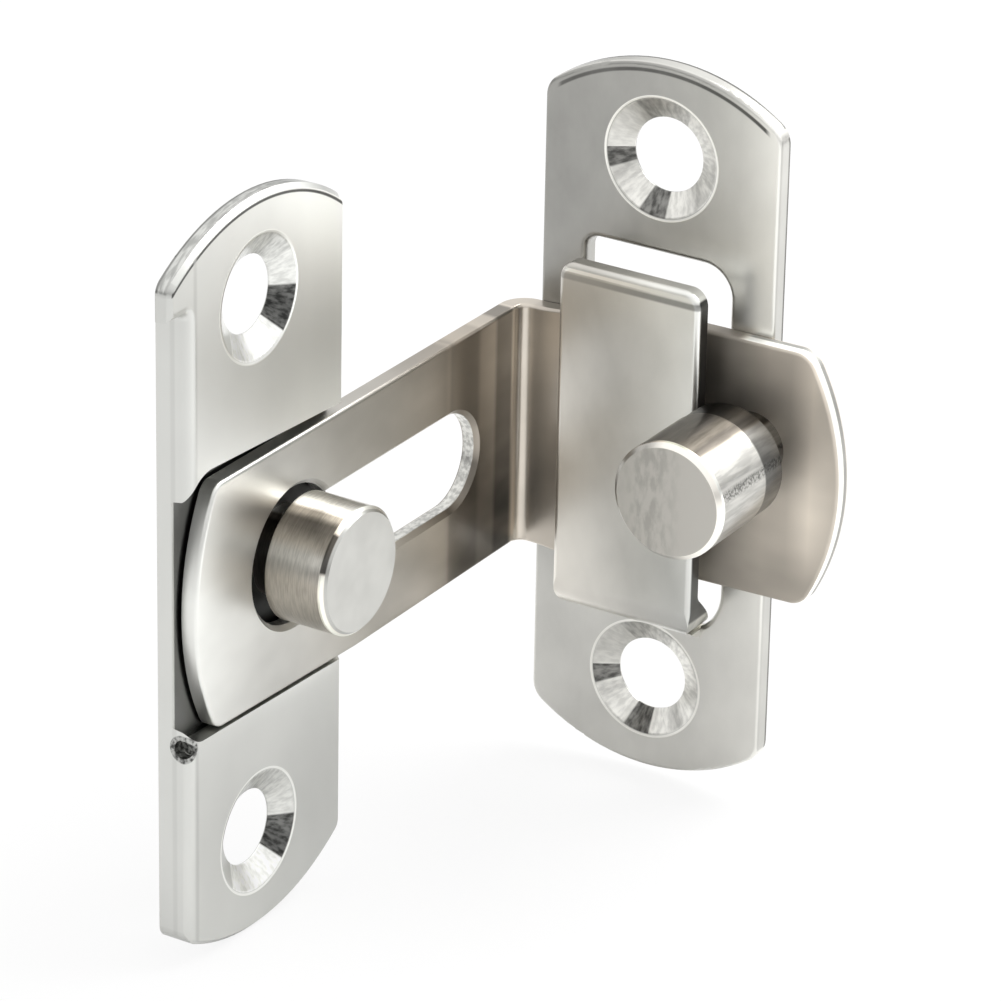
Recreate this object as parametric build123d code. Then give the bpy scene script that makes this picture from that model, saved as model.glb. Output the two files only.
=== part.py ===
from build123d import *
import math
import os

# Sheet and screw holes shared by the plates
SHEET = 1.35
SCREW_R = 3.05
SINK_R = 4.9
SINK_DEPTH = 1.2
SINK_LIP = 0.15
SINK_OVER = 0.2
EDGE_R = 0.3

# Latch plate
PLATE_W = 21.1
PLATE_L = 60.0
PLATE_ARCH_R = 17.0
PLATE_CORNER_R = 2.0
SCREW_INSET = 7.7

# Tongue lanced out of the latch plate
WINDOW_W = 13.0
WINDOW_TOP = 14.5
WINDOW_BOTTOM = -17.3
WINDOW_TOP_LEFT_R = 1.1
WINDOW_TOP_RIGHT_R = 2.5
WINDOW_LOW_LEFT_R = 2.4
WINDOW_LOW_RIGHT_R = 4.2
WINDOW_ROLL_R = 0.5
SLIT = 0.18
TONGUE_TOP = 13.9
TONGUE_CORNER_R = 1.4
TONGUE_ROLL_R = 0.45
TONGUE_GAP = 3.0
ROOT_FRONT_ANGLE = 28.0
ROOT_FRONT_R = 3.2
ROOT_BACK_ANGLE = 45.0
ROOT_BACK_R = 0.8
ROOT_BACK_Z = -12.4
FOOT_H = 0.6
FOOT_RIGHT = 5.0

# Arm, bent to a right angle
ARM_PLAY = 0.05
ARM_TOP = 8.09
ARM_BOTTOM = -12.45
ARM_BEND_R = 0.87
ARM_FACE_X = -11.42
ARM_SAG_Y = -26.0
ARM_SAG_Z = -12.6
ARM_LEFT_BOTTOM = -11.95
ARM_SAG_R = 30.0
ARM_LEFT_END = -47.55
ARM_LEFT_R = 20.0
ARM_CORNER_R = 1.4

# Right leg of the arm, wider than the left one
LEG_NEAR_X = -6.0
LEG_NEAR_BOTTOM = -12.85
LEG_FAR_X = 4.5
LEG_FAR_TOP = 9.75
LEG_FAR_BOTTOM = -11.65
LEG_END_X = 17.5
LEG_END_TOP_X = 14.4
LEG_END_TOP = 9.85
LEG_END_BOTTOM_X = 14.6
LEG_END_BOTTOM = -11.4
LEG_KINK_R = 12.0
LEG_CORNER_R = 1.9
LEG_LAP = 1.0

# Keyhole in the arm
SLOT_W = 8.0
SLOT_Z = -2.05
SLOT_END_Y = -9.05
KEY_Y = -34.45
KEY_Z = -1.6
KEY_R = 5.55
KEY_CHAMFER = 0.4

# Knob riveted to the arm
KNOB_X = 9.7
KNOB_Z = 1.15
KNOB_R = 4.78
KNOB_L = 9.7
KNOB_FACE_BEVEL = 0.35
KNOB_COLLAR_R = 4.68
KNOB_COLLAR_L = 2.8
KNOB_WAIST_R = 4.75
KNOB_BASE_CHAMFER = 0.2
KNOB_CLEAR = 0.25
KNOB_NECK_R = 2.85
RIVET_R = 2.2
RIVET_CLEAR = 0.02

# Strike plate
STRIKE_Y = -39.4
STRIKE_Z = -0.89
STRIKE_W = 22.5
STRIKE_ARCH_R = 18.8
STRIKE_CORNER_R = 1.3
STRIKE_SCREW_INSET = 8.05
STRIKE_BEVEL = 0.35
FLOOR_PLAY = 0.25
FLANGE_Y = -48.35
FLANGE_INSET = 6.41
FLANGE_BEND_R = 0.8
FLANGE_RUNOUT_R = 0.6

# Recess that the arm lies in
RECESS_LEFT_TOP = 9.8
RECESS_RIGHT_TOP = 8.7
RECESS_LEFT_BOTTOM = -12.0
RECESS_RIGHT_BOTTOM = -12.8
RECESS_TOP_R = 3.0
RECESS_BOTTOM_R = 2.0
RECESS_DRAFT = 4.0
RECESS_OPEN = 0.2
RELIEF_X = -12.15
RELIEF_Z = -12.4
RELIEF_R = 0.75
RELIEF_DEPTH = 0.9

# Stud riveted to the strike plate
STUD_Y = -34.35
STUD_Z = -1.5
STUD_HEAD_R = 5.05
STUD_HEAD_L = 5.5
STUD_FACE_BEVEL = 0.4
STUD_CLEAR = 0.3
STUD_NECK_R = 3.6
STUD_BASE_CHAMFER = 0.2

# Levels that follow from the sizes above
PLATE_FRONT = -SHEET
SCREW_SPACING = PLATE_L - 2 * SCREW_INSET
STRIKE_SPACING = PLATE_L - 2 * STRIKE_SCREW_INSET
TONGUE_BACK = PLATE_FRONT - TONGUE_GAP
TONGUE_FRONT = TONGUE_BACK - SHEET
ARM_BACK = PLATE_FRONT - ARM_PLAY
ARM_FRONT = ARM_BACK - SHEET
ARM_BACK_X = ARM_FACE_X - SHEET
BEND_END_X = ARM_FACE_X + ARM_BEND_R
BEND_END_Y = ARM_FRONT - ARM_BEND_R
LAP_X = BEND_END_X + LEG_LAP
LAP_Y = BEND_END_Y - LEG_LAP
FLOOR_FRONT_X = ARM_BACK_X - FLOOR_PLAY
STRIKE_BACK_X = FLOOR_FRONT_X - SHEET
PAD_H = ARM_FACE_X - STRIKE_BACK_X
FLANGE_TOP = STRIKE_Z + PLATE_L / 2 - FLANGE_INSET
STRIKE_PLANE = Plane(origin=(STRIKE_BACK_X, 0, 0), x_dir=(0, 1, 0), z_dir=(1, 0, 0))


def arch_face(width, arch_r, corner_r):
    """Outline of a plate that is arched at both ends."""
    half_w = width / 2
    half_l = PLATE_L / 2
    side = half_l - arch_r + math.sqrt(arch_r**2 - half_w**2)
    outline = Curve() + [
        Line((-half_w, -side), (-half_w, side)),
        ThreePointArc((-half_w, side), (0, half_l), (half_w, side)),
        Line((half_w, side), (half_w, -side)),
        ThreePointArc((half_w, -side), (0, -half_l), (-half_w, -side)),
    ]
    face = make_face(outline)
    return fillet(face.vertices(), corner_r)


def sink_cutter(plane):
    """Countersunk screw hole, seen from the front face that the plane lies on."""
    slope = (SINK_R - SCREW_R) / SINK_DEPTH
    high = SINK_DEPTH + SINK_OVER
    cone = Pos(0, 0, SINK_OVER - high / 2) * Cone(SCREW_R, SINK_R + SINK_OVER * slope, high)
    bore = Cylinder(SCREW_R, 4 * SHEET)
    return plane * (cone + bore)


def soften_sinks(solid, axis, level):
    """Bevelled lip of each countersink on the front face."""
    rims = [
        edge
        for edge in solid.edges().filter_by(GeomType.CIRCLE)
        if abs(edge.radius - SINK_R) < 0.01 and abs(getattr(edge.center(), axis) - level) < 0.01
    ]
    return chamfer(rims, SINK_LIP)


def corner_at(face, x, y):
    """The corner of a flat outline that lies at a point."""
    return [v for v in face.vertices() if abs(v.X - x) < 1e-4 and abs(v.Y - y) < 1e-4]


def rounded(points, radii):
    """Polygon with its own radius at each corner, 0 where the corner stays sharp."""
    face = make_face(Polyline(*points, close=True))
    for (x, y), radius in zip(points, radii):
        if radius:
            face = fillet(corner_at(face, x, y), radius)
    return face


def window_face():
    """Opening in the latch plate that the tongue is lanced from."""
    half = WINDOW_W / 2
    return rounded(
        [(-half, WINDOW_BOTTOM), (half, WINDOW_BOTTOM), (half, WINDOW_TOP), (-half, WINDOW_TOP)],
        [WINDOW_LOW_LEFT_R, WINDOW_LOW_RIGHT_R, WINDOW_TOP_RIGHT_R, WINDOW_TOP_LEFT_R],
    )


def tongue_front_view():
    """Tongue seen from the front, one slit inside the window and rounded along its front rim."""
    half = WINDOW_W / 2 - SLIT
    low = WINDOW_BOTTOM + SLIT
    left_r = WINDOW_LOW_LEFT_R - SLIT
    right_r = WINDOW_LOW_RIGHT_R - SLIT
    face = rounded(
        [(-half, low), (half, low), (half, TONGUE_TOP), (-half, TONGUE_TOP)],
        [left_r, right_r, TONGUE_CORNER_R, TONGUE_CORNER_R],
    )
    block = extrude(Plane.XZ * face, amount=-TONGUE_FRONT)
    block = fillet(block.faces().sort_by(Axis.Y)[0].edges(), TONGUE_ROLL_R)
    foot = Pos((FOOT_RIGHT - half) / 2, 0, low) * Box(FOOT_RIGHT + half, 4 * SHEET, 2 * FOOT_H)
    return block + foot


def tongue_profile():
    """Side profile of the tongue: foot in the plate, sloped root and the flat of the tongue."""
    front_rise = math.tan(math.radians(ROOT_FRONT_ANGLE))
    back_rise = math.tan(math.radians(ROOT_BACK_ANGLE))
    low = WINDOW_BOTTOM - FOOT_H
    out_z = WINDOW_BOTTOM + (PLATE_FRONT - TONGUE_FRONT) * front_rise
    return rounded(
        [
            (0, low), (PLATE_FRONT, low), (PLATE_FRONT, WINDOW_BOTTOM), (TONGUE_FRONT, out_z),
            (TONGUE_FRONT, TONGUE_TOP), (TONGUE_BACK, TONGUE_TOP), (TONGUE_BACK, ROOT_BACK_Z),
            (0, ROOT_BACK_Z + TONGUE_BACK * back_rise),
        ],
        [0, 0, 0, ROOT_FRONT_R, 0, 0, ROOT_BACK_R, 0],
    )


def make_latch_plate():
    """Latch plate with its lanced tongue, one sheet."""
    outline = arch_face(PLATE_W, PLATE_ARCH_R, PLATE_CORNER_R)
    body = extrude(Plane.XZ * (outline - window_face()), amount=SHEET)
    front = body.faces().sort_by(Axis.Y)[0]
    body = fillet(front.inner_wires()[0].edges(), WINDOW_ROLL_R)
    front = body.faces().sort_by(Axis.Y)[0]
    body = fillet(front.outer_wire().edges(), EDGE_R)
    side_view = extrude(Plane.YZ * tongue_profile(), amount=WINDOW_W / 2, both=True)
    tongue = side_view & tongue_front_view()
    for side in (1, -1):
        hole = Plane(origin=(0, PLATE_FRONT, side * SCREW_SPACING / 2), x_dir=(1, 0, 0), z_dir=(0, -1, 0))
        body -= sink_cutter(hole)
        tongue -= sink_cutter(hole)
    body = soften_sinks(body, "Y", PLATE_FRONT)
    return body + tongue


def leg_front_view():
    """Right leg of the arm seen from the front, from the end of the bend to its arched end."""
    middle = (LEG_END_TOP + LEG_END_BOTTOM) / 2
    outline = Curve() + [
        Polyline((LEG_END_TOP_X, LEG_END_TOP), (LEG_FAR_X, LEG_FAR_TOP), (LAP_X, ARM_TOP),
                 (BEND_END_X, ARM_TOP), (BEND_END_X, ARM_BOTTOM), (LAP_X, ARM_BOTTOM),
                 (LEG_NEAR_X, LEG_NEAR_BOTTOM), (LEG_FAR_X, LEG_FAR_BOTTOM),
                 (LEG_END_BOTTOM_X, LEG_END_BOTTOM)),
        ThreePointArc((LEG_END_BOTTOM_X, LEG_END_BOTTOM), (LEG_END_X, middle),
                      (LEG_END_TOP_X, LEG_END_TOP)),
    ]
    face = make_face(outline)
    for x, y, radius in (
        (LAP_X, ARM_TOP, LEG_KINK_R), (LAP_X, ARM_BOTTOM, LEG_KINK_R),
        (LEG_NEAR_X, LEG_NEAR_BOTTOM, LEG_KINK_R),
        (LEG_FAR_X, LEG_FAR_TOP, LEG_KINK_R), (LEG_FAR_X, LEG_FAR_BOTTOM, LEG_KINK_R),
        (LEG_END_TOP_X, LEG_END_TOP, LEG_CORNER_R), (LEG_END_BOTTOM_X, LEG_END_BOTTOM, LEG_CORNER_R),
    ):
        face = fillet(corner_at(face, x, y), radius)
    return face


def arm_side_view():
    """Left leg and bend seen from the side, with a shallow arched end."""
    half = (ARM_TOP - ARM_LEFT_BOTTOM) / 2
    left = ARM_LEFT_END + ARM_LEFT_R - math.sqrt(ARM_LEFT_R**2 - half**2)
    middle = (ARM_TOP + ARM_LEFT_BOTTOM) / 2
    outline = Curve() + [
        ThreePointArc((left, ARM_TOP), (ARM_LEFT_END, middle), (left, ARM_LEFT_BOTTOM)),
        Polyline((left, ARM_LEFT_BOTTOM), (ARM_SAG_Y, ARM_SAG_Z), (LAP_Y, ARM_BOTTOM), (0, ARM_BOTTOM),
                 (0, ARM_TOP), (left, ARM_TOP)),
    ]
    face = make_face(outline)
    for x, y, radius in (
        (LAP_Y, ARM_BOTTOM, ARM_SAG_R), (ARM_SAG_Y, ARM_SAG_Z, ARM_SAG_R),
        (left, ARM_TOP, ARM_CORNER_R), (left, ARM_LEFT_BOTTOM, ARM_CORNER_R),
    ):
        face = fillet(corner_at(face, x, y), radius)
    return face


def keyhole_face():
    """Round entry and straight slot of the keyhole."""
    slot_centre = SLOT_END_Y - SLOT_W / 2
    run = slot_centre - KEY_Y
    entry = Pos(KEY_Y, KEY_Z) * Circle(KEY_R)
    bar = Pos(KEY_Y + run / 2, SLOT_Z) * Rectangle(run, SLOT_W)
    end = Pos(slot_centre, SLOT_Z) * Circle(SLOT_W / 2)
    return entry + bar + end


def make_latch_arm():
    """Arm bent from one sheet, with the keyhole and the rivet hole of the knob."""
    plan = rounded(
        [
            (ARM_BACK_X, ARM_LEFT_END), (ARM_BACK_X, ARM_BACK), (LAP_X, ARM_BACK),
            (LAP_X, ARM_FRONT), (ARM_FACE_X, ARM_FRONT), (ARM_FACE_X, ARM_LEFT_END),
        ],
        [0, ARM_BEND_R + SHEET, 0, 0, ARM_BEND_R, 0],
    )
    left_leg = extrude(plan, amount=2 * PLATE_W, both=True)
    left_leg &= extrude(Plane.YZ * arm_side_view(), amount=PLATE_L, both=True)
    right_leg = Pos(0, ARM_BACK, 0) * extrude(Plane.XZ * leg_front_view(), amount=SHEET)
    body = soften_arm(left_leg + right_leg)
    key = Plane(origin=(ARM_FACE_X, 0, 0), x_dir=(0, 1, 0), z_dir=(1, 0, 0)) * keyhole_face()
    body -= extrude(key, amount=2 * SHEET, both=True)
    face = body.faces().filter_by(lambda f: abs(f.center().X - ARM_FACE_X) < 0.01).sort_by(SortBy.AREA)[-1]
    body = chamfer(face.inner_wires()[0].edges(), KEY_CHAMFER)
    body -= Pos(KNOB_X, ARM_FRONT, KNOB_Z) * Rot(90, 0, 0) * Cylinder(RIVET_R + RIVET_CLEAR, 4 * SHEET)
    return body


def soften_arm(body):
    """Rounded rim along the front side of both legs and the inside of the bend."""
    rim = []
    for face in body.faces():
        middle = face.center()
        flat_right = abs(middle.Y - ARM_FRONT) < 0.01
        flat_left = abs(middle.X - ARM_FACE_X) < 0.01
        bend = face.geom_type == GeomType.CYLINDER and abs(face.radius - ARM_BEND_R) < 0.01
        if flat_right or flat_left or bend:
            rim += [e for e in face.edges() if not is_bend_line(e)]
    return fillet(rim, EDGE_R)


def is_bend_line(edge):
    """True for the two lines where the inside of the bend meets the flat legs."""
    length = ARM_TOP - ARM_BOTTOM
    straight = edge.geom_type == GeomType.LINE
    upright = abs(edge.tangent_at(0).Z) > 0.9
    near = edge.center().X < BEND_END_X + ARM_BEND_R and edge.center().Y > BEND_END_Y - ARM_BEND_R
    return straight and upright and near and abs(edge.length - length) < 1


def turned(points):
    """Solid of revolution about the local Z axis from half of its section."""
    half = make_face(Plane.XZ * Polyline(*points, close=True))
    return revolve(half, Axis.Z)


def make_pull_knob():
    """Finger knob with a turned collar, its neck beside the tongue and its rivet through the arm."""
    base = TONGUE_FRONT - KNOB_CLEAR
    back = ARM_FRONT - base
    deep = ARM_BACK - base
    body = turned([
        (0, -KNOB_L), (KNOB_R - KNOB_FACE_BEVEL, -KNOB_L), (KNOB_R, KNOB_FACE_BEVEL - KNOB_L),
        (KNOB_WAIST_R, -KNOB_COLLAR_L), (KNOB_COLLAR_R, -KNOB_COLLAR_L),
        (KNOB_COLLAR_R, -KNOB_BASE_CHAMFER), (KNOB_COLLAR_R - KNOB_BASE_CHAMFER, 0), (KNOB_NECK_R, 0),
        (KNOB_NECK_R, back), (RIVET_R, back), (RIVET_R, deep), (0, deep),
    ])
    return Plane(origin=(KNOB_X, base, KNOB_Z), x_dir=(1, 0, 0), z_dir=(0, 1, 0)) * body


def recess_cutter():
    """Recess across the strike plate, open at both long edges, with steep upper and lower walls."""
    left = FLANGE_Y - RECESS_OPEN
    right = STRIKE_Y + STRIKE_W
    slope = (RECESS_RIGHT_TOP - RECESS_LEFT_TOP) / STRIKE_W
    drop = (RECESS_RIGHT_BOTTOM - RECESS_LEFT_BOTTOM) / STRIKE_W
    lean = (PAD_H - SHEET) * math.tan(math.radians(RECESS_DRAFT))
    run = right - left
    face = rounded(
        [
            (left, RECESS_LEFT_TOP - lean), (left, RECESS_LEFT_BOTTOM + lean),
            (right, RECESS_LEFT_BOTTOM + lean + drop * run), (right, RECESS_LEFT_TOP - lean + slope * run),
        ],
        [RECESS_TOP_R, RECESS_BOTTOM_R, 0, 0],
    )
    return extrude(Pos(0, 0, SHEET) * face, amount=2 * PAD_H, taper=-RECESS_DRAFT)


def hollow_cutter(inner, side):
    """Space behind one raised pad, between the flange and the open long edge."""
    under = PAD_H - SHEET
    wide = 2 * STRIKE_W
    outer = side * PLATE_L
    middle = (FLANGE_Y + SHEET + wide / 2, (inner + outer) / 2, under / 2)
    return Pos(middle) * Box(wide, abs(outer - inner), under)


def flange_end_cutter():
    """Space behind the sheet that runs on above the square upper end of the flange."""
    under = PAD_H - SHEET
    above = Pos(STRIKE_Y, FLANGE_TOP + PLATE_L / 2, under / 2) * Box(2 * STRIKE_W, PLATE_L, under)
    beside = Pos(FLANGE_Y - STRIKE_W / 2, FLANGE_TOP - PLATE_L / 2, under / 2)
    return above + beside * Box(STRIKE_W, PLATE_L, under)


def strike_outline():
    """Blank of the strike plate with the strip cut away where the flange is folded back."""
    plate = Pos(STRIKE_Y, STRIKE_Z) * arch_face(STRIKE_W, STRIKE_ARCH_R, STRIKE_CORNER_R)
    strip = Pos(FLANGE_Y - STRIKE_W / 2, FLANGE_TOP - PLATE_L / 2) * Rectangle(STRIKE_W, PLATE_L)
    return plate - fillet(corner_at(strip, FLANGE_Y, FLANGE_TOP), FLANGE_RUNOUT_R)


def make_strike_plate():
    """Strike plate with two raised pads, a flanged left edge and the recess for the arm."""
    outline = strike_outline()
    body = extrude(outline, amount=PAD_H)
    top = body.faces().sort_by(Axis.Z)[-1]
    bend = [e for e in top.edges() if abs(e.center().X - FLANGE_Y) < 0.01 and e.length > STRIKE_W]
    body = fillet(bend, FLANGE_BEND_R)
    heel = [v for v in outline.vertices() if abs(v.X - FLANGE_Y) < 1e-4]
    blank = extrude(fillet(min(heel, key=lambda v: v.Y), STRIKE_CORNER_R), amount=PAD_H)
    body &= chamfer(blank.faces().sort_by(Axis.Z)[-1].edges(), STRIKE_BEVEL)
    body -= recess_cutter()
    lean = (PAD_H - SHEET) * math.tan(math.radians(RECESS_DRAFT))
    body -= hollow_cutter(RECESS_LEFT_TOP + lean + SHEET, 1)
    body -= hollow_cutter(RECESS_RIGHT_BOTTOM - lean - SHEET, -1)
    body -= flange_end_cutter()
    for side in (1, -1):
        middle = (STRIKE_Y, STRIKE_Z + side * STRIKE_SPACING / 2, PAD_H)
        body -= sink_cutter(Plane(origin=middle, x_dir=(1, 0, 0), z_dir=(0, 0, 1)))
    body = soften_sinks(body, "Z", PAD_H)
    relief = Rot(90, 0, 0) * Cylinder(RELIEF_R, 2 * RELIEF_DEPTH)
    body -= Pos(FLANGE_Y, RELIEF_Z, RELIEF_X - STRIKE_BACK_X) * Rot(0, 0, 90) * relief
    body -= Pos(STUD_Y, STUD_Z, 0) * Cylinder(RIVET_R + RIVET_CLEAR, 4 * SHEET)
    return STRIKE_PLANE * body


def make_strike_stud():
    """Headed stud with its neck in the keyhole and its rivet in the strike floor."""
    floor = FLOOR_FRONT_X - STRIKE_BACK_X
    under = PAD_H + STUD_CLEAR
    high = under + STUD_HEAD_L
    body = turned([
        (0, 0), (RIVET_R, 0), (RIVET_R, floor), (STUD_NECK_R, floor), (STUD_NECK_R, under),
        (STUD_HEAD_R - STUD_BASE_CHAMFER, under), (STUD_HEAD_R, under + STUD_BASE_CHAMFER),
        (STUD_HEAD_R, high - STUD_FACE_BEVEL), (STUD_HEAD_R - STUD_FACE_BEVEL, high), (0, high),
    ])
    return Plane(origin=(STRIKE_BACK_X, STUD_Y, STUD_Z), x_dir=(0, 1, 0), z_dir=(1, 0, 0)) * body


PARTS = {
    "latch_plate": make_latch_plate,
    "latch_arm": make_latch_arm,
    "pull_knob": make_pull_knob,
    "strike_plate": make_strike_plate,
    "strike_stud": make_strike_stud,
}

os.makedirs("parts", exist_ok=True)
for name, make in PARTS.items():
    solid = make()
    export_step(solid, f"parts/{name}.step")
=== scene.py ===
import bpy
from mathutils import Matrix, Vector


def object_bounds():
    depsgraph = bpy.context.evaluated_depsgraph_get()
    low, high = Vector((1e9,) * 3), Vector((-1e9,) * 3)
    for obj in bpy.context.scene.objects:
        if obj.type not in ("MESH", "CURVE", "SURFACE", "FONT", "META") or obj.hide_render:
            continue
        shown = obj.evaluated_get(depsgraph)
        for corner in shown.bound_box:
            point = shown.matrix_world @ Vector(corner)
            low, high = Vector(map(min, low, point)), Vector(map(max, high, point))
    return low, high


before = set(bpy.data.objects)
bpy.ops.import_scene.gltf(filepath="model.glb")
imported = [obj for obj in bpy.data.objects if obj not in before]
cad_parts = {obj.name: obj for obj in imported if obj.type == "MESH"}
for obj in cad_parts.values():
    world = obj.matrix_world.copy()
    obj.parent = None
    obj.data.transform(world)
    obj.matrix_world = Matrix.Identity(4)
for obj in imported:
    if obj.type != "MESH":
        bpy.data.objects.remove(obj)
CAD_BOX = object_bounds()

MM = 0.001

# The photograph's viewpoint in the row frame
EYE = Vector((208.34, -361.40, 183.30)) * MM
RIGHT = Vector((0.84631, 0.53235, 0.01851))
UP = Vector((-0.23573, 0.34315, 0.90922))
BACK = Vector((0.47768, -0.77385, 0.41590))
LENS = 207.98
SENSOR = 36.0
CLIP_START = 0.01
CLIP_END = 10.0

# Floor, lamp and surroundings
FLOOR_HALF = 4.0
FLOOR_COLOUR = (0.8, 0.8, 0.8, 1)
FLOOR_GLOW_SHARE = 0.85
LAMP_PLACE = (160, 220, 320)
LAMP_AIM = (110, 150, -30)
LAMP_SIZE = (300, 300)
LAMP_POWER = 1.6
# Light of the surroundings as (height from 0 straight down to 1 straight up, level)
WORLD_STOPS = ((0.0, 0.55), (0.48, 0.4), (0.51, 0.12), (0.55, 0.3), (0.6, 0.95), (1.0, 1.15))
WHITE = (1, 1, 1, 1)

# Tints of clean and of heat-browned stainless steel
CLEAN = (1.0, 1.005, 0.965)
BROWN = (1.13, 1.0, 0.84)
RELIEF_HEIGHT = 0.02 * MM

# The tables below describe the finishes. Most of their tones are painted light: painted
# reflections, highlights and shade laid into the base colour, as the notes at each table say.
# Places and grains are in millimetres of the row frame, angles in degrees, and tones and warmth
# run from 0 to 1. A range is (where the mask is 0, where it is 1). A band is (from, to,
# softness). Stops are (place, tone). A mottle is (grain along each axis, detail, spread of the
# noise, levels that the spread stands for). A relief is (grain, strength).

# Countersinks: painted reflections and shade in bands by distance from the hole's middle, with
# streaks along the cone, and a painted highlight on the lip
SINK_RING = (3.0, 4.88, 0.05)
SINK_LIP_HIGHLIGHT = (4.93, 5.12, 0.04)
SINK_LIP_HIGHLIGHT_TONE = 0.95
SECTOR_SOFT = 1.5
STREAK_ANGLE = 4.5
STREAK_LENGTH = 0.7
STREAK_DETAIL = 5.0
STREAK_SPREAD = (0.3, 0.7)

# Latch plate
LATCH_CLOUD = ((7, 7, 9), 2, (0.2, 0.8), (-0.05, 0.05))
LATCH_FINE = ((0.9, 0.9, 1.6), 2, (0.2, 0.8), (-0.01, 0.01))
# Painted reflections: darker on the left, lighter to the right, and a lighter lower part
LATCH_ACROSS = ((-10.6, 0.34), (-6, 0.35), (0, 0.4), (4, 0.47), (7, 0.62), (10.2, 0.95))
LATCH_LOW = ((-10.6, 0.6), (0, 0.63), (10.2, 0.76))
LATCH_LOW_Z = (-8, -18)
LATCH_ARCH = (0, 13.0)
LATCH_ARCH_R = 17.0
LATCH_ARCH_Z = (22, 23)
# Painted dark reflection line just inside the upper arch's front edge
ARCH_LINE_X = (-9.3, 9.3, 0.3)
ARCH_LINE_Y = (-0.9, -1.1)
ARCH_LINE_R = (LATCH_ARCH_R - 0.8, LATCH_ARCH_R - 0.5, 0.07)
ARCH_REFLECTION_LINE_TONE = 0.12
# Painted shade on the arch's and the sides' walls
ARCH_WALL_R = (LATCH_ARCH_R - 0.1, LATCH_ARCH_R - 0.03)
ARCH_WALL_SHADE_TONE = 0.68
SIDE_WALL_X = (10.4, 10.5)
SIDE_WALL_SHADE_TONE = 0.5
# Painted dark outline of contact shade along the walls' back edge
BACK_EDGE_Y = (-0.3, -0.12)
BACK_EDGE_SHADE_TONE = 0.15
LATCH_SINKS = ((0, 22.3), (0, -22.3))
LATCH_SINK_Y = (-0.05, -0.1)
# Painted reflections and shade of a countersink, by sectors, as (from, to, tone, how far the
# streaks lift it)
LATCH_SINK_REFLECTIONS = (
    (-182, -160, 0.08, 0.2), (-160, -112, 0.66, 0.24), (-112, -84, 0.08, 0.2),
    (-84, -20, 0.66, 0.24), (-20, 60, 0.52, 0.22), (60, 120, 0.34, 0.22), (120, 182, 0.6, 0.14),
)
LATCH_WARM = 0.12
LATCH_ROUGH = (0.28, 0.34)
LATCH_RELIEF = ((0.4, 0.4, 2.0), 0.01)

# Tongue of the latch plate
TONGUE_Y = (-3.9, -4.2)
TONGUE_SLOPE = 0.35
# Painted reflections across the tongue's face, along a slant, lighter to the right
TONGUE_ACROSS = (
    (-12, 0.78), (-7, 0.72), (-3, 0.58), (1, 0.57), (4, 0.7), (7, 0.88), (12, 0.9),
)
# Painted shade in a band below the top rim, and a painted highlight on the top rim
TOP_SHADE_Z = (12.5, 13.0, 0.1)
TOP_SHADE_TONE = 0.4
TOP_RIM_Z = (13.15, 13.45, 0.06)
TOP_RIM_HIGHLIGHT_TONE = 0.98
# Painted shade on the tongue's right side
TONGUE_SIDE_X = (6.1, 6.2)
TONGUE_SIDE_END_X = (8.5, 7.5)
TONGUE_SIDE_BACK_Y = (-1.9, -2.3)
TONGUE_SIDE_FRONT_Y = (-5.5, -5.35)
TONGUE_SIDE_SHADE_TONE = 0.1
TONGUE_WARM = ((-6.3, 0.35), (0, 0.2), (6.3, 0.0))

# Arm
ARM_CLOUD = ((7, 7, 4), 2, (0.2, 0.8), (-0.05, 0.05))
# Painted reflections and shade along the left leg
ARM_LEFT = (
    (-47.6, 0.86), (-46, 0.8), (-43, 0.71), (-39, 0.59), (-33, 0.53), (-27, 0.49), (-21, 0.44),
    (-16, 0.38), (-13.3, 0.34), (-12.9, 0.22), (-9.2, 0.2), (-8.6, 0.27), (-6.7, 0.24),
    (-6.2, 0.11), (-4.2, 0.11), (-3.7, 0.56), (-2.9, 0.58),
)
# Over these places the painted reflection bands are lifted by height, lighter towards the top
BANDS_START_Y = (-14, -12)
BANDS_END_Y = (-3.6, -4.1)
BANDS_LIFT = (5, -9, 2.1, 0.65)
# Painted reflections and shade along the right leg
ARM_RIGHT = (
    (-10.5, 0.55), (-10.2, 0.5), (-8, 0.45), (-6, 0.3), (6.5, 0.24), (8.5, 0.34), (11, 0.56),
    (13, 0.6), (15, 0.84), (17.5, 0.6),
)
ARM_BEND_X = (-10.9, -10.3)
ARM_OUTER_X = (0, 1)
# Painted shade over the lower part of the right leg
ARM_LOWER_Z = (-4, -10)
ARM_LOWER_SHADE_TONE = 0.35
ARM_LOWER_SHARE = 0.8
# Disc on the left leg, toned down to offset a reflection in the photograph's view
GLARE = (-40.5, 5.5)
GLARE_DAMPING = (0.5, 5.5, 0.8, 1.0)
# Painted highlight on the edge walls of the right leg's outer part, with a painted dark line
# along their back edge
RIM_X = (8, 9)
RIM_Y = (-2.62, -1.47, 0.03)
RIM_HIGHLIGHT_TONE = 1.0
RIM_BACK_Y = (-2.0, -1.85)
RIM_BACK_SHADE_TONE = 0.4
SLOT_WALL_X = (-12.72, -11.78, 0.02)
SLOT_WALL_Y = (-42, -8.6, 0.3)
SLOT_WALL_Z = (-9, 6, 0.5)
SLOT_SPECK = ((0.35, 0.6, 0.35), 4, (0.35, 0.65), (0.45, 0.75))
ARM_WARM = ((-47.6, 0.0), (-34, 0.15), (-22, 0.45), (-12, 0.95), (-3, 0.7))
ARM_RIGHT_WARM = 0.7
ARM_WARM_X = (-11, -10.3)
ARM_WALL_WARM = 0.1
ARM_ROUGH = ((-47.6, 0.38), (-36, 0.34), (-20, 0.29), (-2, 0.28))
ARM_OUTER_ROUGH = 0.55
ARM_RELIEF = ((0.4, 0.4, 2.5), 0.015)

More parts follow.
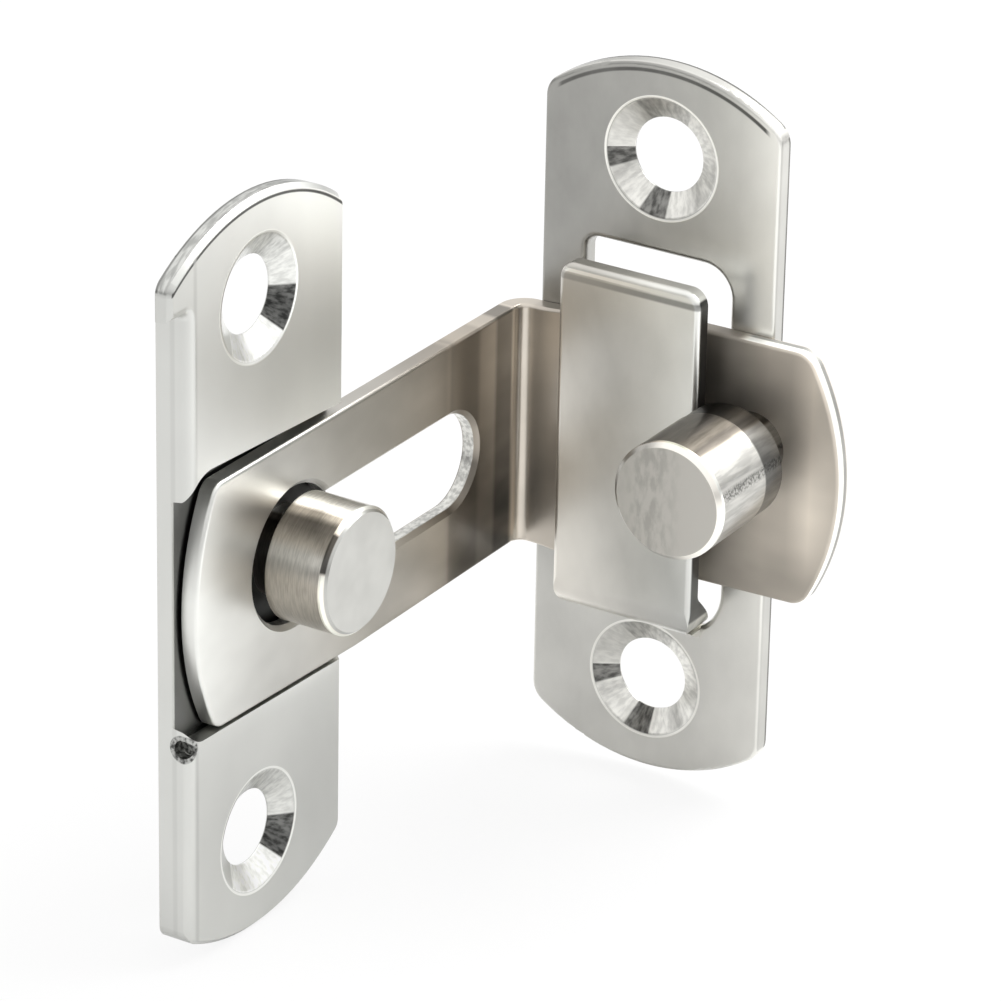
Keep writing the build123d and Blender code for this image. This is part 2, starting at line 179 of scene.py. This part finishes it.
# Knob
KNOB = (9.7, 1.15)
KNOB_R = 4.78
KNOB_FACE_Y = -15.65
KNOB_STREAK = ((0.4, 3, 0.4), 4, (0.3, 0.7), (0, 1))
KNOB_STREAK_GAIN = (0, 1, 0.82, 1.12)
# Painted reflections and shade around the side, by angle
KNOB_SIDE = (
    (-180, 0.3), (-90, 0.42), (-40, 0.45), (5, 0.44), (9, 0.5), (22, 0.82), (50, 0.84),
    (56, 0.76), (60, 0.2), (66, 0.14), (72, 0.34), (80, 0.28), (90, 0.12), (118, 0.1),
    (128, 0.35), (180, 0.4),
)
HATCH = ((0.2, 0.2, 0.2), 3, (0.35, 0.65), (0, 1))
HATCH_ANGLE = (10, 20, 2.5)
HATCH_TONE = 0.12
HATCH_LIFT = 0.3
# Painted shade on the collar next to the arm
COLLAR_Y = (-8.77, -8.73)
COLLAR_SHADE_SHARE = 0.25
SEAM_Y = (-8.87, -8.71, 0.04)
SEAM_TONE = 0.2
SEAM_SHARE = 0.7
BLOTCH = ((0.5, 0.5, 1.3), 6, (0.38, 0.66), (0, 1))
BLOTCH_X = (KNOB[0] - 3.4, KNOB[0] + 0.4, 1.4)
BLOTCH_DEPTH = 0.1
KNOB_FRONT_Y = (KNOB_FACE_Y + 0.35, KNOB_FACE_Y + 0.27)
KNOB_FACE_TONE = 0.47
# Painted highlights on the face's rim and on the side's front edge, over the lit angles
KNOB_LIT_ANGLE = (-75, 105, 12)
KNOB_RIM_R = (KNOB_R - 0.42, KNOB_R - 0.36)
KNOB_RIM_FACE_HIGHLIGHT = 0.95
KNOB_RIM_Y = (KNOB_FACE_Y + 0.65, KNOB_FACE_Y + 0.59)
KNOB_RIM_SIDE_HIGHLIGHT = 1.0
KNOB_RIVET_Y = (-1.5, -1.45)
KNOB_WARM = 0.15
KNOB_BROWNED = 0.9
KNOB_BROWNED_ANGLE = (57, 150, 3)
KNOB_FACE_WARM = 0.3
KNOB_ROUGH = 0.28
KNOB_RELIEF = ((0.5, 0.06, 0.5), 0.02)
RIVET_TONE = 0.6

# Strike plate
STRIKE_FACE_X = -11.42
STRIKE_FRONT_X = (STRIKE_FACE_X - 0.12, STRIKE_FACE_X - 0.04)
STRIKE_CLOUD = ((6, 6, 9), 2, (0.2, 0.8), (-0.02, 0.02))
# Painted reflections: darker at the flanged end, lighter towards the other end, and darker over
# the lower part
STRIKE_ACROSS = (
    (-50.6, 0.62), (-47, 0.66), (-44, 0.7), (-38, 0.79), (-33, 0.96), (-28, 1.0),
)
STRIKE_LOW_Z = (-10, -14)
STRIKE_LOW_TONE = 0.64
STRIKE_ARCH = (-39.4, 10.31)
STRIKE_ARCH_R = 18.8
STRIKE_ARCH_Z = (22.8, 23.2)
# Painted dark reflection line just inside the arch's front edge
STRIKE_LINE_R = (STRIKE_ARCH_R - 0.68, STRIKE_ARCH_R - 0.46, 0.05)
STRIKE_REFLECTION_LINE_TONE = 0.1
STRIKE_WALL_X = (STRIKE_FACE_X - 0.3, STRIKE_FACE_X - 0.4)
STRIKE_WALL_R = (STRIKE_ARCH_R - 0.4, STRIKE_ARCH_R - 0.3)
STRIKE_WALL = ((0.25, 1.4, 1.4), 4, (0.35, 0.65), (0.42, 0.68))
# Painted dark outline of contact shade along the arch wall's back edge
STRIKE_BACK_EDGE_X = (-12.5, -12.68)
STRIKE_BACK_EDGE_SHADE_TONE = 0.2
FLANGE_Y = -48.35
FLANGE_OUTSIDE_Y = (FLANGE_Y + 0.15, FLANGE_Y + 0.05)
# Painted shade along the flange's outer fold and along the crease where the face starts to bend
FOLD_X = (-13.1, -12.7, 0.1)
FOLD_SHADE_TONE = 0.55
CREASE_Y = (-47.75, -47.35, 0.15)
CREASE_SHADE_TONE = 0.5
FOLD_SHADE_SHARE = 0.6
PLATE_BACK_X = (-12.7, -12.76)
PLATE_BACK_Y = (FLANGE_Y + 0.25, FLANGE_Y + 0.45)
PLATE_BACK_TONE = 0.6
# Painted shade on the recess floor, and a painted shadow under the stud
FLOOR_X = (-13.2, -12.6, 0.1)
FLOOR_Z = (-13.1, 10.0, 0.1)
FLOOR_Y = (FLANGE_Y + 0.1, FLANGE_Y + 0.3)
RECESS_FLOOR_SHADE_TONE = 0.15
UNDER_STUD_R = (7.4, 6.6)
UNDER_STUD_SHADOW_TONE = 0.02
# Painted speckled shade standing in for the hollow of the relief cut
RELIEF_CUT = (-12.15, FLANGE_Y, -12.4)
RELIEF_CUT_R = (1.2, 1.1)
RELIEF_CUT_SHADE = ((0.3, 0.3, 0.3), 4, (0.35, 0.65), (0.08, 0.45))
STRIKE_SINKS = ((-39.4, 21.06), (-39.4, -22.84))
STRIKE_SINK_X = (-12.74, -12.69)
STRIKE_SINK_REFLECTIONS = (
    (30, 120, 0.5, 0.24), (-11, 30, 0.6, 0.2), (-50, -6, 0.04, 0.16), (-135, -50, 0.84, 0.3),
)
STRIKE_WARM = 0.0
STRIKE_ROUGH = 0.3
STRIKE_RELIEF = ((0.4, 0.4, 2.0), 0.01)

# Stud
STUD = (-34.35, -1.5)
STUD_FACE_X = -5.62
# Painted reflections and shade around the turned side, by angle
STUD_SIDE = (
    (0, 0.8), (75, 0.8), (103, 0.7), (108, 0.2), (113, 0.24), (119, 0.12), (128, 0.2),
    (137, 0.38), (146, 0.5), (156, 0.55), (166, 0.45), (180, 0.38), (195, 0.4), (215, 0.42),
    (235, 0.5), (300, 0.7), (360, 0.8),
)
STUD_TURNING = ((0.12, 1.2, 1.2), 3, (0.25, 0.75), (0.85, 1.15))
# Painted highlight on the bevel, with a painted dark reflection over one arc of angles
STUD_BEVEL_X = (STUD_FACE_X - 0.63, STUD_FACE_X - 0.53)
STUD_BEVEL_HIGHLIGHT_TONE = 1.0
STUD_DARK_ANGLE = (125, 162, 2)
STUD_BEVEL_DARK_REFLECTION_TONE = 0.1
STUD_FRONT_X = (STUD_FACE_X - 0.23, STUD_FACE_X - 0.15)
STUD_CLOUD = ((3, 3, 3), 2, (0.2, 0.8), (0.48, 0.56))
STUD_RIVET_X = (-14.25, -14.32)
STUD_WARM = (
    (0, 0.2), (104, 0.2), (108, 1.0), (140, 0.8), (150, 0.3), (160, 0.3), (175, 0.7),
    (230, 0.5), (360, 0.2),
)
STUD_FACE_WARM = 0.05
STUD_ROUGH = 0.28
STUD_RELIEF = ((0.06, 0.5, 0.5), 0.02)


class Steel:
    """Shader of one steel piece, whose tone is built up in layers over object coordinates."""

    def __init__(self, name):
        self.material = bpy.data.materials.new(name)
        self.material.use_nodes = True
        self.tree = self.material.node_tree
        self.shader = self.tree.nodes["Principled BSDF"]
        self.shader.inputs["Metallic"].default_value = 1.0
        scale = self.node("ShaderNodeVectorMath", operation="SCALE")
        scale.inputs["Scale"].default_value = 1 / MM
        self.link(self.node("ShaderNodeTexCoord").outputs["Object"], scale.inputs[0])
        self.spot = scale.outputs["Vector"]
        axes = self.node("ShaderNodeSeparateXYZ")
        self.link(self.spot, axes.inputs["Vector"])
        self.x, self.y, self.z = (axes.outputs[axis] for axis in "XYZ")

    def node(self, kind, **settings):
        """Adds a node and sets its plain properties."""
        made = self.tree.nodes.new(kind)
        for name, value in settings.items():
            setattr(made, name, value)
        return made

    def link(self, source, target):
        """Joins two sockets, or writes a number into the target."""
        if isinstance(source, (int, float)):
            target.default_value = source
        else:
            self.tree.links.new(source, target)

    def calc(self, operation, first, second=0.0):
        """Result of one sum on sockets or numbers."""
        made = self.node("ShaderNodeMath", operation=operation)
        self.link(first, made.inputs[0])
        self.link(second, made.inputs[1])
        return made.outputs["Value"]

    def remap(self, value, low, high, out_low=0.0, out_high=1.0):
        """Value moved smoothly from one range to another, clamped."""
        made = self.node("ShaderNodeMapRange", interpolation_type="SMOOTHSTEP")
        ends = {"From Min": low, "From Max": high, "To Min": out_low, "To Max": out_high}
        for name, number in ends.items():
            made.inputs[name].default_value = number
        self.link(value, made.inputs["Value"])
        return made.outputs["Result"]

    def span(self, value, low, high, soft):
        """1 where a value lies between two limits, with soft ends."""
        rise = self.remap(value, low - soft, low + soft)
        fall = self.remap(value, high - soft, high + soft, 1.0, 0.0)
        return self.calc("MULTIPLY", rise, fall)

    def both(self, *masks):
        """Product of several masks."""
        product = masks[0]
        for mask in masks[1:]:
            product = self.calc("MULTIPLY", product, mask)
        return product

    def over(self, under, value, mask):
        """Value laid over another where the mask is 1."""
        made = self.node("ShaderNodeMix")
        self.link(mask, made.inputs["Factor"])
        self.link(under, made.inputs["A"])
        self.link(value, made.inputs["B"])
        return made.outputs["Result"]

    def curve(self, value, stops):
        """Level read off a line through stops of (place, level)."""
        low, high = stops[0][0], stops[-1][0]
        share = self.node("ShaderNodeMapRange")
        share.inputs["From Min"].default_value = low
        share.inputs["From Max"].default_value = high
        self.link(value, share.inputs["Value"])
        ramp = self.node("ShaderNodeValToRGB")
        fill_ramp(ramp, [((place - low) / (high - low), level) for place, level in stops])
        self.link(share.outputs["Result"], ramp.inputs["Fac"])
        return ramp.outputs["Color"]

    def noise(self, vector, detail):
        """Noise from 0 to 1 over a vector."""
        made = self.node("ShaderNodeTexNoise")
        made.inputs["Scale"].default_value = 1.0
        made.inputs["Detail"].default_value = detail
        self.link(vector, made.inputs["Vector"])
        return made.outputs["Fac"]

    def grained(self, grain, detail):
        """Noise over the piece with its grain size along each axis."""
        mapping = self.node("ShaderNodeMapping")
        mapping.inputs["Scale"].default_value = [1 / size for size in grain]
        self.link(self.spot, mapping.inputs["Vector"])
        return self.noise(mapping.outputs["Vector"], detail)

    def mottle(self, grain, detail, spread, levels):
        """Grained noise whose spread is stretched over two levels."""
        return self.remap(self.grained(grain, detail), *spread, *levels)

    def polar(self, u, v, centre):
        """Distance and angle in degrees around a centre in one plane."""
        du = self.calc("SUBTRACT", u, centre[0])
        dv = self.calc("SUBTRACT", v, centre[1])
        squares = self.calc("ADD", self.calc("MULTIPLY", du, du), self.calc("MULTIPLY", dv, dv))
        angle = self.calc("DEGREES", self.calc("ARCTAN2", dv, du))
        return self.calc("SQRT", squares), angle

    def sinks(self, tone, u, v, centres, front, reflection_sectors):
        """Painted reflections and shade of the countersinks, and a painted highlight on their
        lip, where the front mask is 1.
        """
        for centre in centres:
            distance, angle = self.polar(u, v, centre)
            cone = self.node("ShaderNodeCombineXYZ")
            self.link(self.calc("DIVIDE", angle, STREAK_ANGLE), cone.inputs["X"])
            self.link(self.calc("DIVIDE", distance, STREAK_LENGTH), cone.inputs["Y"])
            self.link(centre[1], cone.inputs["Z"])
            streak = self.remap(self.noise(cone.outputs["Vector"], STREAK_DETAIL), *STREAK_SPREAD)
            ring = self.both(front, self.span(distance, *SINK_RING))
            # Painted reflections and shade, sector by sector
            for start, end, level, lift in reflection_sectors:
                mask = self.both(ring, self.span(angle, start, end, SECTOR_SOFT))
                shade = self.calc("ADD", level, self.calc("MULTIPLY", streak, lift))
                tone = self.over(tone, shade, mask)
            # Painted highlight on the lip
            lip_highlight = self.both(front, self.span(distance, *SINK_LIP_HIGHLIGHT))
            tone = self.over(tone, SINK_LIP_HIGHLIGHT_TONE, lip_highlight)
        return tone

    def finish(self, tone, warm, rough, grain, strength):
        """Joins tone, tint, roughness and fine relief to the shader."""
        tint = self.node("ShaderNodeMix", data_type="RGBA")
        tint.inputs["A"].default_value = (*CLEAN, 1)
        tint.inputs["B"].default_value = (*BROWN, 1)
        self.link(warm, tint.inputs["Factor"])
        shade = self.node("ShaderNodeVectorMath", operation="SCALE")
        self.link(tint.outputs["Result"], shade.inputs[0])
        self.link(tone, shade.inputs["Scale"])
        self.link(shade.outputs["Vector"], self.shader.inputs["Base Color"])
        self.link(rough, self.shader.inputs["Roughness"])
        relief = self.node("ShaderNodeBump")
        relief.inputs["Strength"].default_value = strength
        relief.inputs["Distance"].default_value = RELIEF_HEIGHT
        self.link(self.grained(grain, 2.0), relief.inputs["Height"])
        self.link(relief.outputs["Normal"], self.shader.inputs["Normal"])
        return self.material


def fill_ramp(ramp, stops):
    """Gives a colour ramp grey stops of (position, level)."""
    elements = ramp.color_ramp.elements
    while len(elements) < len(stops):
        elements.new(0.5)
    for element, (position, level) in zip(elements, stops):
        element.position = position
        element.color = (level, level, level, 1)


def latch_plate_steel():
    """Latch plate: cloudy, with painted reflections darker on the left, a painted dark line
    inside the upper arch and painted shade on its walls and their back edge.
    """
    s = Steel("latch_plate steel")
    tone = s.over(s.curve(s.x, LATCH_ACROSS), s.curve(s.x, LATCH_LOW), s.remap(s.z, *LATCH_LOW_Z))
    distance, _ = s.polar(s.x, s.z, LATCH_ARCH)
    top = s.remap(s.z, *LATCH_ARCH_Z)
    line = s.both(top, s.span(s.x, *ARCH_LINE_X), s.remap(s.y, *ARCH_LINE_Y),
                  s.span(distance, *ARCH_LINE_R))
    tone = s.over(tone, ARCH_REFLECTION_LINE_TONE, line)
    side_wall = s.remap(s.x, *SIDE_WALL_X)
    tone = s.over(tone, SIDE_WALL_SHADE_TONE, side_wall)
    arch_wall = s.both(top, s.remap(distance, *ARCH_WALL_R))
    tone = s.over(tone, ARCH_WALL_SHADE_TONE, arch_wall)
    wall = s.calc("MAXIMUM", side_wall, arch_wall)
    tone = s.over(tone, BACK_EDGE_SHADE_TONE, s.both(wall, s.remap(s.y, *BACK_EDGE_Y)))
    tongue = s.remap(s.y, *TONGUE_Y)
    tone = tongue_tone(s, tone, tongue)
    cloud = s.mottle(*LATCH_CLOUD)
    tone = s.calc("ADD", tone, s.calc("ADD", cloud, s.mottle(*LATCH_FINE)))
    tone = s.sinks(tone, s.x, s.z, LATCH_SINKS, s.remap(s.y, *LATCH_SINK_Y), LATCH_SINK_REFLECTIONS)
    warm = s.over(LATCH_WARM, s.curve(s.x, TONGUE_WARM), tongue)
    rough = s.remap(cloud, *LATCH_CLOUD[-1], *LATCH_ROUGH)
    return s.finish(tone, warm, rough, *LATCH_RELIEF)


def tongue_tone(s, tone, tongue):
    """Tongue laid over the plate: painted reflections brighter to the right, a painted highlight
    on the top rim above painted shade, and painted shade on the right side.
    """
    slant = s.calc("ADD", s.x, s.calc("MULTIPLY", s.z, TONGUE_SLOPE))
    face = s.curve(slant, TONGUE_ACROSS)
    face = s.over(face, TOP_SHADE_TONE, s.span(s.z, *TOP_SHADE_Z))
    face = s.over(face, TOP_RIM_HIGHLIGHT_TONE, s.span(s.z, *TOP_RIM_Z))
    tone = s.over(tone, face, tongue)
    side = s.both(s.remap(s.x, *TONGUE_SIDE_X), s.remap(s.x, *TONGUE_SIDE_END_X),
                  s.remap(s.y, *TONGUE_SIDE_BACK_Y), s.remap(s.y, *TONGUE_SIDE_FRONT_Y))
    return s.over(tone, TONGUE_SIDE_SHADE_TONE, side)


def latch_arm_steel():
    """Arm: clean at the hooked end, browned towards the bend, with painted reflections in bands,
    painted shade low on the right leg and a painted highlight on the outer rim.
    """
    s = Steel("latch_arm steel")
    banded = s.both(s.remap(s.y, *BANDS_START_Y), s.remap(s.y, *BANDS_END_Y))
    lift = s.over(1.0, s.remap(s.z, *BANDS_LIFT), banded)
    left = s.calc("MULTIPLY", s.curve(s.y, ARM_LEFT), lift)
    tone = s.over(left, s.curve(s.x, ARM_RIGHT), s.remap(s.x, *ARM_BEND_X))
    outer = s.remap(s.x, *ARM_OUTER_X)
    lower = s.both(outer, s.remap(s.z, *ARM_LOWER_Z))
    tone = s.over(tone, ARM_LOWER_SHADE_TONE, s.calc("MULTIPLY", lower, ARM_LOWER_SHARE))
    glare, _ = s.polar(s.y, s.z, GLARE)
    tone = s.calc("MULTIPLY", tone, s.remap(glare, *GLARE_DAMPING))
    rim = s.both(s.remap(s.x, *RIM_X), s.span(s.y, *RIM_Y))
    tone = s.over(tone, RIM_HIGHLIGHT_TONE, rim)
    tone = s.over(tone, RIM_BACK_SHADE_TONE, s.both(rim, s.remap(s.y, *RIM_BACK_Y)))
    walls = s.both(s.span(s.x, *SLOT_WALL_X), s.span(s.y, *SLOT_WALL_Y),
                   s.span(s.z, *SLOT_WALL_Z))
    tone = s.over(tone, s.mottle(*SLOT_SPECK), walls)
    tone = s.calc("ADD", tone, s.mottle(*ARM_CLOUD))
    warm = s.over(s.curve(s.y, ARM_WARM), ARM_RIGHT_WARM, s.remap(s.x, *ARM_WARM_X))
    warm = s.over(warm, ARM_WALL_WARM, s.calc("MAXIMUM", walls, rim))
    rough = s.over(s.curve(s.y, ARM_ROUGH), ARM_OUTER_ROUGH, outer)
    return s.finish(tone, warm, rough, *ARM_RELIEF)


def pull_knob_steel():
    """Knob: clouded face, bright and dark streaks with painted reflections along the side,
    painted highlights on the front rim and painted shade on the collar.
    """
    s = Steel("pull_knob steel")
    distance, angle = s.polar(s.x, s.z, KNOB)
    gain = s.remap(s.mottle(*KNOB_STREAK), *KNOB_STREAK_GAIN)
    side = s.calc("MULTIPLY", s.curve(angle, KNOB_SIDE), gain)
    hatch = s.calc("ADD", HATCH_TONE, s.calc("MULTIPLY", s.mottle(*HATCH), HATCH_LIFT))
    side = s.over(side, hatch, s.span(angle, *HATCH_ANGLE))
    side = s.over(side, s.calc("MULTIPLY", side, COLLAR_SHADE_SHARE), s.remap(s.y, *COLLAR_Y))
    side = s.over(side, SEAM_TONE, s.calc("MULTIPLY", s.span(s.y, *SEAM_Y), SEAM_SHARE))
    blotch = s.both(s.mottle(*BLOTCH), s.span(s.x, *BLOTCH_X))
    face = s.calc("SUBTRACT", KNOB_FACE_TONE, s.calc("MULTIPLY", blotch, BLOTCH_DEPTH))
    lit = s.span(angle, *KNOB_LIT_ANGLE)
    face = s.over(face, KNOB_RIM_FACE_HIGHLIGHT, s.both(lit, s.remap(distance, *KNOB_RIM_R)))
    side = s.over(side, KNOB_RIM_SIDE_HIGHLIGHT, s.both(lit, s.remap(s.y, *KNOB_RIM_Y)))
    front = s.remap(s.y, *KNOB_FRONT_Y)
    tone = s.over(side, face, front)
    tone = s.over(tone, RIVET_TONE, s.remap(s.y, *KNOB_RIVET_Y))
    warm = s.over(KNOB_WARM, KNOB_BROWNED, s.span(angle, *KNOB_BROWNED_ANGLE))
    warm = s.over(warm, KNOB_FACE_WARM, front)
    return s.finish(tone, warm, KNOB_ROUGH, *KNOB_RELIEF)


def strike_plate_steel():
    """Strike plate: clean pads with painted reflections, painted shade along the flange's fold
    and crease, plain back, and painted shade on the recess floor, under the stud and in the
    relief cut.
    """
    s = Steel("strike_plate steel")
    tone = s.curve(s.y, STRIKE_ACROSS)
    tone = s.over(tone, STRIKE_LOW_TONE, s.remap(s.z, *STRIKE_LOW_Z))
    on_face = s.remap(s.x, *STRIKE_FRONT_X)
    distance, _ = s.polar(s.y, s.z, STRIKE_ARCH)
    top = s.remap(s.z, *STRIKE_ARCH_Z)
    line = s.both(top, on_face, s.span(distance, *STRIKE_LINE_R))
    tone = s.over(tone, STRIKE_REFLECTION_LINE_TONE, line)
    wall = s.both(top, s.remap(s.x, *STRIKE_WALL_X), s.remap(distance, *STRIKE_WALL_R))
    tone = s.over(tone, s.mottle(*STRIKE_WALL), wall)
    back_edge = s.both(wall, s.remap(s.x, *STRIKE_BACK_EDGE_X))
    tone = s.over(tone, STRIKE_BACK_EDGE_SHADE_TONE, back_edge)
    fold = s.both(s.remap(s.y, *FLANGE_OUTSIDE_Y), s.span(s.x, *FOLD_X))
    tone = s.over(tone, FOLD_SHADE_TONE, s.calc("MULTIPLY", fold, FOLD_SHADE_SHARE))
    crease = s.both(on_face, s.span(s.y, *CREASE_Y))
    tone = s.over(tone, CREASE_SHADE_TONE, s.calc("MULTIPLY", crease, FOLD_SHADE_SHARE))
    back = s.both(s.remap(s.x, *PLATE_BACK_X), s.remap(s.y, *PLATE_BACK_Y))
    tone = s.over(tone, PLATE_BACK_TONE, back)
    floor = s.both(s.span(s.x, *FLOOR_X), s.span(s.z, *FLOOR_Z), s.remap(s.y, *FLOOR_Y))
    tone = s.over(tone, RECESS_FLOOR_SHADE_TONE, floor)
    under, _ = s.polar(s.y, s.z, STUD)
    tone = s.over(tone, UNDER_STUD_SHADOW_TONE, s.both(floor, s.remap(under, *UNDER_STUD_R)))
    reach = s.node("ShaderNodeVectorMath", operation="DISTANCE")
    s.link(s.spot, reach.inputs[0])
    reach.inputs[1].default_value = RELIEF_CUT
    cut = s.remap(reach.outputs["Value"], *RELIEF_CUT_R)
    tone = s.over(tone, s.mottle(*RELIEF_CUT_SHADE), cut)
    tone = s.calc("ADD", tone, s.mottle(*STRIKE_CLOUD))
    tone = s.sinks(tone, s.y, s.z, STRIKE_SINKS, s.remap(s.x, *STRIKE_SINK_X), STRIKE_SINK_REFLECTIONS)
    return s.finish(tone, STRIKE_WARM, STRIKE_ROUGH, *STRIKE_RELIEF)


def strike_stud_steel():
    """Stud: turned side with streaks and painted dark and bright reflections, pale face with a
    painted highlight on the bevel.
    """
    s = Steel("strike_stud steel")
    _, angle = s.polar(s.y, s.z, STUD)
    around = s.calc("MODULO", s.calc("ADD", angle, 360), 360)
    side = s.calc("MULTIPLY", s.curve(around, STUD_SIDE), s.mottle(*STUD_TURNING))
    rim = s.over(STUD_BEVEL_HIGHLIGHT_TONE, STUD_BEVEL_DARK_REFLECTION_TONE, s.span(around, *STUD_DARK_ANGLE))
    tone = s.over(side, rim, s.remap(s.x, *STUD_BEVEL_X))
    front = s.remap(s.x, *STUD_FRONT_X)
    tone = s.over(tone, s.mottle(*STUD_CLOUD), front)
    tone = s.over(tone, RIVET_TONE, s.remap(s.x, *STUD_RIVET_X))
    warm = s.over(s.curve(around, STUD_WARM), STUD_FACE_WARM, front)
    return s.finish(tone, warm, STUD_ROUGH, *STUD_RELIEF)


def dress():
    """Gives every CAD piece its finish."""
    finishes = {
        "latch_plate": latch_plate_steel(),
        "latch_arm": latch_arm_steel(),
        "pull_knob": pull_knob_steel(),
        "strike_plate": strike_plate_steel(),
        "strike_stud": strike_stud_steel(),
    }
    for name, finish in finishes.items():
        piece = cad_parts[name]
        piece.data.materials.clear()
        piece.data.materials.append(finish)


def make_camera():
    """Camera at the photograph's viewpoint."""
    data = bpy.data.cameras.new("camera")
    data.lens = LENS
    data.sensor_width = SENSOR
    data.clip_start = CLIP_START
    data.clip_end = CLIP_END
    camera = bpy.data.objects.new("camera", data)
    camera.matrix_world = Matrix((
        (RIGHT.x, UP.x, BACK.x, EYE.x),
        (RIGHT.y, UP.y, BACK.y, EYE.y),
        (RIGHT.z, UP.z, BACK.z, EYE.z),
        (0, 0, 0, 1),
    ))
    bpy.context.scene.collection.objects.link(camera)
    bpy.context.scene.camera = camera


def make_floor():
    """Plain pale floor under the latch, near white to the camera."""
    low = CAD_BOX[0][2]
    half = FLOOR_HALF
    corners = [(-half, -half, low), (half, -half, low), (half, half, low), (-half, half, low)]
    mesh = bpy.data.meshes.new("floor")
    mesh.from_pydata(corners, [], [(0, 1, 2, 3)])
    floor = bpy.data.objects.new("floor", mesh)
    bpy.context.scene.collection.objects.link(floor)
    material = bpy.data.materials.new("pale floor")
    material.use_nodes = True
    tree = material.node_tree
    tree.nodes.remove(tree.nodes["Principled BSDF"])
    diffuse = tree.nodes.new("ShaderNodeBsdfDiffuse")
    diffuse.inputs["Color"].default_value = FLOOR_COLOUR
    glow = tree.nodes.new("ShaderNodeEmission")
    glow.inputs["Strength"].default_value = 1.0
    path = tree.nodes.new("ShaderNodeLightPath")
    seen = tree.nodes.new("ShaderNodeMath")
    seen.operation = "MULTIPLY"
    seen.inputs[1].default_value = FLOOR_GLOW_SHARE
    mix = tree.nodes.new("ShaderNodeMixShader")
    tree.links.new(path.outputs["Is Camera Ray"], seen.inputs[0])
    tree.links.new(seen.outputs["Value"], mix.inputs["Fac"])
    tree.links.new(diffuse.outputs["BSDF"], mix.inputs[1])
    tree.links.new(glow.outputs["Emission"], mix.inputs[2])
    tree.links.new(mix.outputs["Shader"], tree.nodes["Material Output"].inputs["Surface"])
    floor.data.materials.append(material)


def make_lamp():
    """Soft square lamp behind the latch."""
    data = bpy.data.lights.new("floor_light", "AREA")
    data.shape = "RECTANGLE"
    data.size = LAMP_SIZE[0] * MM
    data.size_y = LAMP_SIZE[1] * MM
    data.energy = LAMP_POWER
    lamp = bpy.data.objects.new("floor_light", data)
    place = Vector(LAMP_PLACE) * MM
    lamp.location = place
    lamp.rotation_euler = (Vector(LAMP_AIM) * MM - place).to_track_quat("-Z", "Y").to_euler()
    bpy.context.scene.collection.objects.link(lamp)


def make_world():
    """Studio surroundings: light above, dark along the horizon, plain white to the camera."""
    world = bpy.data.worlds.new("studio")
    bpy.context.scene.world = world
    world.use_nodes = True
    tree = world.node_tree
    place = tree.nodes.new("ShaderNodeTexCoord")
    axes = tree.nodes.new("ShaderNodeSeparateXYZ")
    tree.links.new(place.outputs["Generated"], axes.inputs["Vector"])
    height = tree.nodes.new("ShaderNodeMapRange")
    height.inputs["From Min"].default_value = -1
    tree.links.new(axes.outputs["Z"], height.inputs["Value"])
    ramp = tree.nodes.new("ShaderNodeValToRGB")
    fill_ramp(ramp, WORLD_STOPS)
    tree.links.new(height.outputs["Result"], ramp.inputs["Fac"])
    studio = tree.nodes["Background"]
    tree.links.new(ramp.outputs["Color"], studio.inputs["Color"])
    plain = tree.nodes.new("ShaderNodeBackground")
    plain.inputs["Color"].default_value = WHITE
    path = tree.nodes.new("ShaderNodeLightPath")
    mix = tree.nodes.new("ShaderNodeMixShader")
    tree.links.new(path.outputs["Is Camera Ray"], mix.inputs["Fac"])
    tree.links.new(studio.outputs["Background"], mix.inputs[1])
    tree.links.new(plain.outputs["Background"], mix.inputs[2])
    tree.links.new(mix.outputs["Shader"], tree.nodes["World Output"].inputs["Surface"])


bpy.context.scene.view_settings.view_transform = "Standard"
make_camera()
make_world()
make_floor()
make_lamp()
dress()
